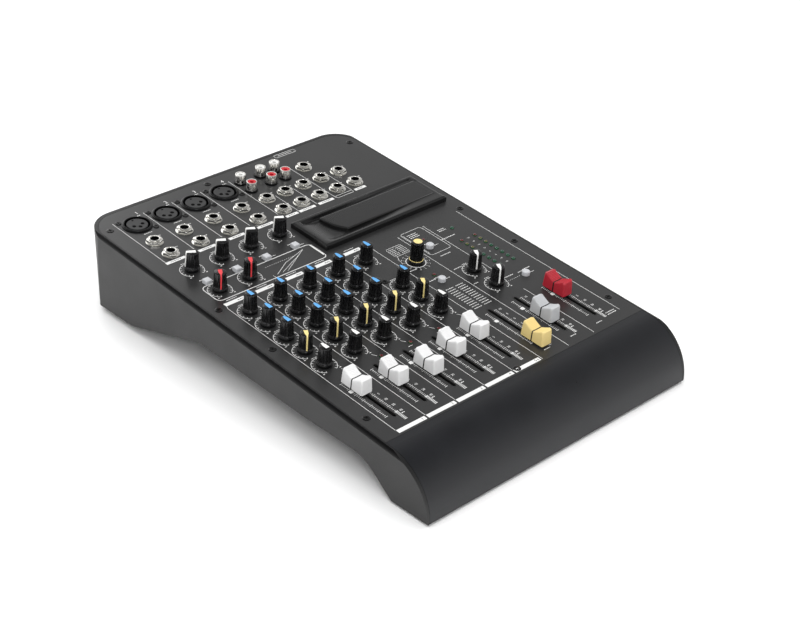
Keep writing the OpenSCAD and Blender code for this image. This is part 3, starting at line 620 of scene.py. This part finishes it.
addPart(art, rows([[(r * math.cos(a), r * math.sin(a), z) for a in [2 * math.pi * i / 64 for i in range(64)]]
                   for r, z in ((7.7, 0.001), (7.7, 0.03), (7.1, 0.03), (7.1, 0.001))], ringed=True),
        0, at(selectorX, selectorT))
panelPiece("panelPrint", art, [printWhite])
for q in darkArt["points"]:
    q.z += prints["ink"] + (0.005 if q.z < 0.01 else 0.0)
panelPiece("panelPrintDark", darkArt, [printBlack])
dials = grow(trees["dial"], dialPlaces, {"Radius": prints["dialRadius"], "Sweep": math.radians(300), "Line Width": 0.34,
             "Ticks": 15, "Tick Length": 1.5, "Finish": printWhite}, prints["ink"])
newPiece("knobScales", dials)
scaleStarts = [(middleOf(n)[0] + side, slotMiddle - 22, 0) for side in (3.7, -5.2) for n in faderNodes]
scales = grow(trees["scale"], scaleStarts, {"Count": prints["scaleTicks"], "Pitch": 1.46, "Short Tick": 1.5,
              "Long Tick": 2.6, "Line Width": 0.38, "Finish": printWhite}, prints["ink"])
newPiece("faderScales", scales)
slots = newShape()
for node in faderNodes:
    x, t, h = middleOf(node)
    frameBox(slots, x - 1.75, slotMiddle - 26, x + 1.75, slotMiddle + 26, 1.7, 0.8)
panelPiece("slotEdges", slots, [printBlack])
print("printing made")

# Sockets

micSocket = {"depth": 18, "contactAt": (200, 270, 340), "contact": 1.55}
jack = {"flats": 11.0}
phono = {"barrel": 4.15}

micPlaces = [(*onPanel(mounts[f"mic_insert_{i}"]["pos_m"])[:2], 0) for i in range(1, 5)]
deep = micSocket["depth"]
shell = addPart(newShape(), lathe([(0, -deep - 1.6), (10.2, -deep - 1.6), (10.2, 0.01), (11.35, 0.01), (11.6, 0.25),
                                    (11.55, 0.6), (11.3, 0.8), (10.75, 0.85), (10.6, 1.25), (10.3, 1.5), (9.85, 1.5),
                                    (9.62, 1.25), (9.6, -deep), (0, -deep)], 72))
copies("micSocketRings", shell, micPlaces, socketBlack, ["mic_sockets"])
insert = newShape()
holes = [circle(micSocket["contact"], 20, 4 * math.cos(math.radians(a)), 4 * math.sin(math.radians(a)))
         for a in micSocket["contactAt"]]
holes.append([(x, y + 6.1) for x, y in outline(1.7, 1.5, 0.3, 2)])
addPart(insert, platedHoles(circle(7.6, 64), holes, 1.0, 8))
addPart(insert, lathe([(7.6, 1.0), (7.88, 0.88), (8.0, 0.6), (8.0, -deep + 0.01), (0, -deep + 0.01)], 64))
copies("micSocketInserts", insert, micPlaces, insertGrey)


def hexReach(flats):
    return lambda r, z, a: min(r, flats / 2 / math.cos(a % (math.pi / 3) - math.pi / 6))


def crossHead(radius, rise, slotLong, slotWide, sink):
    part = newShape()
    l, w = slotLong / 2, slotWide / 2
    cross = [(w, w), (w, l), (-w, l), (-w, w), (-l, w), (-l, -w), (-w, -w), (-w, -l), (w, -l), (w, -w), (l, -w), (l, w)]
    addPart(part, platedHoles(circle(radius * 0.74, 40), [cross], rise, sink))
    return addPart(part, lathe([(radius * 0.74, rise), (radius * 0.9, rise * 0.82), (radius, rise * 0.3), (radius, 0.01),
                                (radius * 0.5, -1.5), (radius * 0.5, -9), (0, -9.6)], 40))


micScrews = [(x + s * 10.1, t - s * 9.6, 0) for x, t, h in micPlaces for s in (-1, 1)]
copies("micScrews", crossHead(2.3, 0.7, 2.6, 0.6, 0.5), micScrews, boltBlack, largestTurn=6.28, seed=4)

jackPlaces = [(*onPanel(m["pos_m"])[:2], 0) for m in mounts.values() if "jack" in m["name"]]
nut = addPart(newShape(), lathe([(4.15, 0.42), (5.9, 0.42), (6.35, 0.7), (6.35, 1.8), (6.1, 2.15), (5.8, 2.45), (5.45, 2.62),
                                (4.4, 2.62), (4.15, 2.4)], 96, True, hexReach(jack["flats"])))
copies("jackNuts", nut, jackPlaces, nutPlate, ["fasteners"], largestTurn=1.05, seed=7, sharp=28)
washer = addPart(newShape(), lathe([(4.15, 0.01), (6.5, 0.01), (6.6, 0.12), (6.55, 0.34), (6.4, 0.42), (4.15, 0.42)],
                                   64, True))
copies("jackWashers", washer, jackPlaces, nutPlate, seed=2)
bushing = addPart(newShape(), lathe([(3.55, -1), (4.1, -1), (4.1, 2.75), (3.98, 2.85), (4.1, 2.95), (4.1, 3.2),
                                     (4.0, 3.45), (3.75, 3.6),
                                     (3.5, 3.58), (3.3, 3.4), (3.2, 3.1), (3.2, 2.3), (3.55, 2.3)], 56, True))
copies("jackBushings", bushing, jackPlaces, chromePlate, ["line_sockets"])
cup = addPart(newShape(), lathe([(0, -24), (5.6, -24), (5.6, -1.5), (3.5, -1.5), (3.5, 2.2), (3.2, 2.2), (3.2, -22.4),
                                 (0, -22.4)], 48))
copies("jackBores", cup, jackPlaces, socketBlack)
contact = addPart(newShape(), stack(0.35, 1.5, 0.1, [(0, -19), (0, -5)]), 0, at(2.9, 0))
copies("jackContacts", contact, jackPlaces, chromePlate, largestTurn=6.28, seed=3)

phonoPlaces = [(*onPanel(m["pos_m"])[:2], 0) for m in mounts.values() if "phono" in m["name"]]
barrel = addPart(newShape(), lathe([(3.3, 0.6), (phono["barrel"], 0.6), (phono["barrel"], 7.6), (4.0, 7.9), (3.75, 8.0),
                                    (3.45, 7.95), (3.3, 7.7)], 48, True))
copies("phonoBarrels", barrel, phonoPlaces, chromePlate)
collar = addPart(newShape(), lathe([(0, -9), (4.2, -9), (4.2, 0.01), (4.85, 0.01), (4.85, 0.9), (4.6, 1.2), (4.18, 1.2),
                                    (4.16, 0.2), (0, 0.2)], 48))
copies("phonoCollars", collar, phonoPlaces, socketBlack)
insulator = addPart(newShape(), lathe([(3.28, 0.3), (3.28, 7.3), (3.1, 7.5), (1.9, 7.5), (1.6, 7.2), (1.6, 0.8),
                                       (0, 0.8)], 40))
frontRow = sum(t for x, t, h in phonoPlaces) / len(phonoPlaces)
copies("phonoInsulatorsFront", insulator, [q for q in phonoPlaces if q[1] < frontRow], phonoRed)
copies("phonoInsulatorsRear", insulator, [q for q in phonoPlaces if q[1] > frontRow], phonoWhite)
panelScrews = [(s * 117.75, t, 0) for s in (-1, 1) for t in (26, 120.3, 178.5, 307)]
panelScrews += [(0, 4.8, 0), (-18, 320, 0), (0, 136.6, 0)]
copies("panelScrews", crossHead(2.9, 0.35, 3.4, 0.75, 0.9), panelScrews, boltBlack, largestTurn=6.28, seed=11)
print("sockets made")

# Lamps and the holder

lamp = {"radius": 1.5, "high": 1.1}
lens = addPart(newShape(), lathe([(1.15, -1)] + [(lamp["radius"] * math.cos(a), 0.05 + lamp["high"] * math.sin(a)) for a in
               [math.pi / 2 * i / 7 for i in range(7)]] + [(0, 0.05 + lamp["high"])], 28))
meter = [(x, 103.3 + 5.77 * j, 0) for j in range(8) for x in (85, 99)]
copies("meterLampsGreen", lens, meter[:10], lampGreen)
copies("meterLampsYellow", lens, meter[10:14], lampYellow)
peakLamps = [(x + 10.5, 70.5, 0) for x in stripX]
functionLamps = [(62, 161.4, 0), (35.3, 122, 0)]
copies("meterLampsRed", lens, meter[14:] + peakLamps + functionLamps, lampRed)
copies("powerLamp", lens, [(92, 161.3, 0)], lampGreen)

holderX, holderT, h = middleOf("device_holder")
holder = {"wide": 123, "long": 41, "high": 4.7, "dip": 2.5, "trough": 3.2, "padEnd": 21.0, "padFront": 9.0, "padBack": 33.0}


def holderHeight(x, y):  # x and y run from the front left corner
    edge = min(x, holder["wide"] - x, y, holder["long"] - y)
    fade = 1 - ease(x, 25, 114)
    sides = ease(x, 1.5, 17)
    height = holder["high"] - holder["dip"] * sides * ease(y, 1.2, 8.6) * (0.12 + 0.88 * fade) * (1 - ease(y, 31, 34))
    ends = ease(x, 5.0, 7.5) * (1 - ease(x, 115, 119))
    height -= holder["trough"] * ends * (0.3 + 0.7 * fade) * ease(y, 32.6, 33.4) * (1 - ease(y, 36.6, 37.5))
    return height - 1.1 * (1 - ease(edge, 0.1, 1.5)) if edge > 0.05 else 0.0


def insetRing(ring, amount):
    moved = []
    for i, p in enumerate(ring):
        before, after = Vector(ring[i - 1]), Vector(ring[(i + 1) % len(ring)])
        along = (after - before).normalized()
        moved.append((p[0] - along.y * amount, p[1] + along.x * amount))
    return moved


across = [0, 0.06, 0.15, 0.4, 0.8, 1.2] + [1.7 + 1.0 * i for i in range(120)] + [121.8, 122.2, 122.6, 122.85, 122.94, 123]
along = [0, 0.06, 0.15, 0.4, 0.8, 1.2] + [1.6 + 0.4 * i for i in range(95)] + [39.8, 40.2, 40.6, 40.85, 40.94, 41]
slab = newShape()
addPart(slab, rows([[(x, y, holderHeight(x, y)) for x in across] for y in along], closed=False))
rim = [(x, 0, 0) for x in across] + [(holder["wide"], y, 0) for y in along[1:]]
rim += [(x, holder["long"], 0) for x in across[::-1][1:]] + [(0, y, 0) for y in along[::-1][1:-1]]
slab["faces"].append([len(slab["points"]) + i for i in range(len(rim))][::-1])
slab["kinds"].append(0)
slab["points"] += [Vector(q) for q in rim]
padRing = [(118, holder["padFront"]), (118, holder["padBack"])]
padRing += [(holder["padEnd"] + 0.8 * (1 - math.cos(v)), holder["padBack"] - 1.2 * (1 - math.sin(v)))
            for v in [math.pi / 2 * (1 - i / 4) for i in range(5)]]
for i in range(1, 24):
    k = i / 24
    padRing.append((holder["padEnd"] + 8.0 * k ** 2.2, holder["padBack"] - 1.2 - 22.0 * k))
padRing += [(29.3, 9.7), (29.9, 9.3), (30.8, holder["padFront"])]
levels = [(0, 1.2), (0, holder["high"] - 0.75), (0.12, holder["high"] - 0.35), (0.4, holder["high"] - 0.08),
          (0.75, holder["high"] + 0.03), (1.6, holder["high"] + 0.035)]
rings = [[(x, y, z) for x, y in insetRing(padRing, inset)] for inset, z in levels]
points, faces = rows(rings)
n = len(padRing)
addPart(slab, (points, faces + [list(range(n))[::-1], [len(points) - n + i for i in range(n)]]))
for q in slab["points"]:
    q += Vector((holderX - holder["wide"] / 2, holderT - holder["long"] / 2, 0.01))
panelPiece("deviceHolder", slab, [holderBlack], replaces=["device_holder"], sharp=50)
print("lamps and holder made")

# Knobs

knob = {"foot": 1.0, "low": 5.1, "high": 4.45, "ridges": 10, "groove": 0.34, "turns": 120}
pointers = {"pan": knobWhite, "send": knobYellow, "low": knobBlue, "mid": knobBlue, "high": knobBlue,
            "gain": knobWhite, "compressor": knobRed, "phones": knobWhite, "monitor": knobWhite}


def knobShape(kind):
    part = newShape()
    k = knob

    def ribbed(r, z, a):
        if z < k["foot"] + 2.45 or r < 3.7:
            return r
        wave = max(0.0, math.cos(k["ridges"] * a)) ** 4
        return r - k["groove"] * wave * min(1.0, (r - 3.4) / 0.6)

    side = [(k["low"] + (k["high"] - k["low"]) * i / 6, 3.7 + (14.5 - 3.7) * i / 6) for i in range(7)]
    skirt = [(0, -10.5), (2.8, -10.5), (3, -10.2), (3, 1.3), (5.3, 1.3), (5.4, 1.0), (5.6, 1.0), (5.7, 1.15), (5.7, 3.0),
             (5.55, 3.3), (5.25, 3.45)]
    crown = [(4.42, 14.8), (4.3, 15.1), (4.1, 15.33), (3.85, 15.46), (3.6, 15.5), (0, 15.5)]
    addPart(part, lathe(skirt + side + crown, k["turns"], reach=ribbed))
    wide = 2.3 if kind == "gain" else 1.05
    wedge = [(-1.5, -2.4), (1.5, -2.4), (1.35, 1.6), (wide / 2, 4.1), (-wide / 2, 4.1), (-1.35, 1.6)]
    low, top = [(x, y, 15.4) for x, y in wedge], [(x, y, 15.56) for x, y in wedge]
    points, faces = rows([low, top])
    addPart(part, (points, faces + [list(range(6))[::-1], list(range(6, 12))]), 1)
    ribbon = []
    for y, z in [(4.0, 15.47), (4.25, 15.25), (4.42, 14.9), (4.53, 14.5), (4.8, 9.5), (5.14, 3.75)]:
        ribbon.append([(-wide / 2, y - 0.3, z), (-wide / 2, y + 0.07, z), (wide / 2, y + 0.07, z), (wide / 2, y - 0.3, z)])
    points, faces = rows(ribbon)
    addPart(part, (points, faces + [[3, 2, 1, 0], [len(points) - 4, len(points) - 3, len(points) - 2, len(points) - 1]]), 1)
    return part


knobShapes = {kind: knobShape(kind) for kind in pointers}
for node in knobNodes:
    kind = node.split("_")[0]
    x, t, h = middleOf(node)
    turned = panelPlace @ at(x, t, 0, -math.radians(restPointer.get(kind, -150)))
    mesh = meshOf(node + "Cap", knobShapes[kind], [knobBlack, pointers[kind]], turned, 40)
    newPiece(node + "Cap", mesh, node, [node])


def selectorRibs(r, z, a):
    return r - (0.35 * max(0.0, math.cos(18 * a)) ** 2 if z > 2.0 and r > 4.3 else 0.0)


selector = newShape()
addPart(selector, lathe([(0, -10.5), (3, -10.5), (3, 1.0), (5.8, 1.0), (6, 1.2), (6, 2.5), (5.75, 2.8), (5.4, 2.8)], 144))
addPart(selector, lathe([(5.4, 2.8), (5.35, 3.0), (4.95, 3.0)], 144), 1)
addPart(selector, lathe([(4.95, 3.0), (4.9, 3.6), (4.9, 10), (4.85, 16.6), (4.7, 17.4), (4.4, 17.8), (3.9, 18), (3.3, 18)],
                        144, reach=selectorRibs), 0)
addPart(selector, lathe([(3.3, 18), (3.1, 18.0), (2.9, 17.9), (0, 17.9)], 144), 1)
selectorPlace = panelPlace @ at(selectorX, selectorT)
selectorMesh = meshOf("effectSelectorCap", selector, [knobBlack, knobYellow], selectorPlace, 40)
newPiece("effectSelectorCap", selectorMesh, "effect_selector", ["effect_selector"])
print("knobs made")

# Faders and buttons

cap = {"long": 21.0, "wide": 10.0, "low": 1.5, "high": 13.0, "dip": 3.7, "draft": 0.07, "endDraft": 0.09,
       "corner": 1.3, "ridge": 0.3, "pitch": 1.05}
capFinish = {"send_fader": (capYellow, "fader_yellow"), "monitor_fader": (capGrey, "fader_grey"),
             "main_fader": (capRed, "fader_red")}  # the others are white


def capShape():
    c = cap
    half = c["long"] / 2
    ends = [0.0, 0.55, 0.57, 10.5, 10.47, 10.35, 10.15, 9.85, 9.5, 9.2]
    marks = sorted(set(ends + [round(0.9 + 0.175 * i, 4) for i in range(47)]))
    stations = [-s for s in marks[::-1] if s > 0] + marks
    part, rings, kinds = newShape(), [], []
    for s in stations:
        a = abs(s)
        over = max(0.0, a - (half - c["corner"]))
        w = c["wide"] / 2 - c["corner"] + math.sqrt(max(c["corner"] ** 2 - over ** 2, 0.0001))
        top = c["high"] - c["dip"] * (1 - min(a / 8.4, 1.0) ** 1.25)
        top -= 0.55 * ease(a, 8.4, 10.5) ** 1.5
        if 0.9 < a < 8.9:
            top += c["ridge"] * (2 * abs(((a - 0.9) / c["pitch"]) % 1 - 0.5) - 0.5) * 1.4
        if a < 0.56:
            top -= 0.15
        ring = [(w, c["low"]), (w, c["low"] + 3), (w, top - 1.6), (w - 0.08, top - 0.9), (w - 0.35, top - 0.4),
                (w - 0.8, top - 0.12), (w * 0.55, top - 0.2), (0.6, top - 0.28)]
        ring += [(-x, z) for x, z in ring[::-1]]
        lean = [1 - c["draft"] * (z - c["low"]) / (c["high"] - c["low"]) for x, z in ring]
        rings.append([(x * k, s * (1 - c["endDraft"] * (1 - k) / c["draft"]), z) for (x, z), k in zip(ring, lean)])
    points, faces = rows(rings)
    count = len(rings[0])
    addPart(part, (points, faces))
    for k in range(len(stations) - 1):
        if abs(stations[k] + stations[k + 1]) < 0.9:
            for i in range(count):
                part["kinds"][k * count + i] = 1
    part["faces"] += [list(range(count))[::-1], [len(points) - count + i for i in range(count)]]
    part["kinds"] += [0, 0]
    addPart(part, stack(1.2, 4.4, 0.2, [(0, -10.5), (0, 2.0)], 2), 1)
    return part


fader = capShape()
for node in faderNodes:
    x, t, h = middleOf(node)
    finish, slot = capFinish.get(node, (capWhite, "fader_white"))
    mesh = meshOf(node + "Cap", fader, [finish, capLine], panelPlace @ at(x, t), 24)
    newPiece(node + "Cap", mesh, node, [node])

squareButton, roundButton = newShape(), newShape()
addPart(squareButton, stack(5.3, 5.3, 0.3, [(0, -3), (0, 2.5), (0.08, 2.75), (0.4, 3.1), (0.6, 3.2)], 2))
addPart(roundButton, lathe([(0, -3), (3, -3), (3, 2.4), (2.88, 2.8), (2.6, 3.05), (2.2, 3.2), (1.7, 3.12), (0, 3.05)], 40))
for shape in (squareButton, roundButton):
    addPart(shape, stack(2.4, 2.4, 0.2, [(0, -9.5), (0, -2.9)], 2))
for node in [n for n in frame["nodes"] if "button" in n]:
    low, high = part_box(node)
    x, t, h = middleOf(node)
    shape = roundButton if (high - low).x > 0.0055 else squareButton
    mesh = meshOf(node + "Cap", shape, [buttonGrey], panelPlace @ at(x, t), 40)
    newPiece(node + "Cap", mesh, node, [node])
print("faders and buttons made")

# The carried-over nodes

carried = {"top_panel": panelPaint, "front_lip": lipGrain, "circuit_boards": boardGreen, "potentiometers": potSteel,
           "power_inlet": inletBlack, "power_switch": rockerBlack, "rubber_feet": footRubber, "body_shell": caseGrain}
for node, finish in carried.items():
    part = frame["nodes"][node]
    part.data.materials.clear()
    part.data.materials.append(finish)
shellMesh = frame["nodes"]["body_shell"].data
shellMesh.materials.append(rimGlossPaintedShade)
# rim faces that turn away from the panel face get the glossier finish with painted shade
for face in shellMesh.polygons:
    x, t, h = onPanel(face.center)
    lean = (panelPlace.inverted().to_3x3() @ face.normal).normalized().z
    face.material_index = 1 if h > -2.7 and t > -1 and lean < 0.96 else 0
print("case finished")

# Camera, floor and light

studio = {"floor": 0.96, "lift": 70, "key": 12, "fill": 9, "sky": 0.97, "zenith": 0.12}
scene = bpy.context.scene
cameraData = bpy.data.cameras.new("camera")
cameraData.lens, cameraData.sensor_width, cameraData.clip_end = 77.45, 36, 20
camera = bpy.data.objects.new("camera", cameraData)
scene.collection.objects.link(camera)
camera.location = (-0.73645, -0.79155, 0.65997)
camera.rotation_euler = [math.radians(v) for v in (59.72205, -1.03047, -43.19291)]
scene.camera = camera
floorMesh = bpy.data.meshes.new("floor")
floorMesh.from_pydata([(-9, -9, -0.0004), (9, -9, -0.0004), (9, 9, -0.0004), (-9, 9, -0.0004)], [], [[0, 1, 2, 3]])
floorPaint = newFinish("floorPaint", (studio["floor"],) * 3, 0.7, grain=300, bump=0.02, vary=0.01)
floorMesh.materials.append(floorPaint)
floor = bpy.data.objects.new("floor", floorMesh)
scene.collection.objects.link(floor)


def softLamp(name, place, size, power, aim=(0, 0, 0.04)):
    data = bpy.data.lights.new(name, "AREA")
    data.shape, data.size, data.energy = "SQUARE", size, power
    lampObject = bpy.data.objects.new(name, data)
    scene.collection.objects.link(lampObject)
    lampObject.location = place
    lampObject.rotation_euler = (Vector(aim) - Vector(place)).to_track_quat("-Z", "Y").to_euler()
    return lampObject


lift = softLamp("lift", (-0.2, -0.1, 2.4), 3.2, studio["lift"])
lift.visible_glossy = False
softLamp("key", (0.3, 1.9, 1.1), 1.5, studio["key"])
softLamp("fill", (-1.1, -1.7, 1.25), 0.3, studio["fill"])
world = bpy.data.worlds.new("studio")
scene.world = world
world.use_nodes = True
sky = world.node_tree
skyCoords = addNode(sky, "ShaderNodeTexCoord")
skyParts = addNode(sky, "ShaderNodeSeparateXYZ", links={"Vector": skyCoords.outputs["Generated"]})
skyRamp = addNode(sky, "ShaderNodeValToRGB", links={"Fac": skyParts.outputs["Z"]})
skyRamp.color_ramp.elements[0].position, skyRamp.color_ramp.elements[0].color = 0.25, (1, 1, 1, 1)
skyRamp.color_ramp.elements[1].position, skyRamp.color_ramp.elements[1].color = 0.95, (studio["zenith"],) * 3 + (1,)
background = sky.nodes["Background"]
sky.links.new(skyRamp.outputs["Color"], background.inputs["Color"])
background.inputs["Strength"].default_value = studio["sky"]

scene.view_settings.view_transform = "Standard"
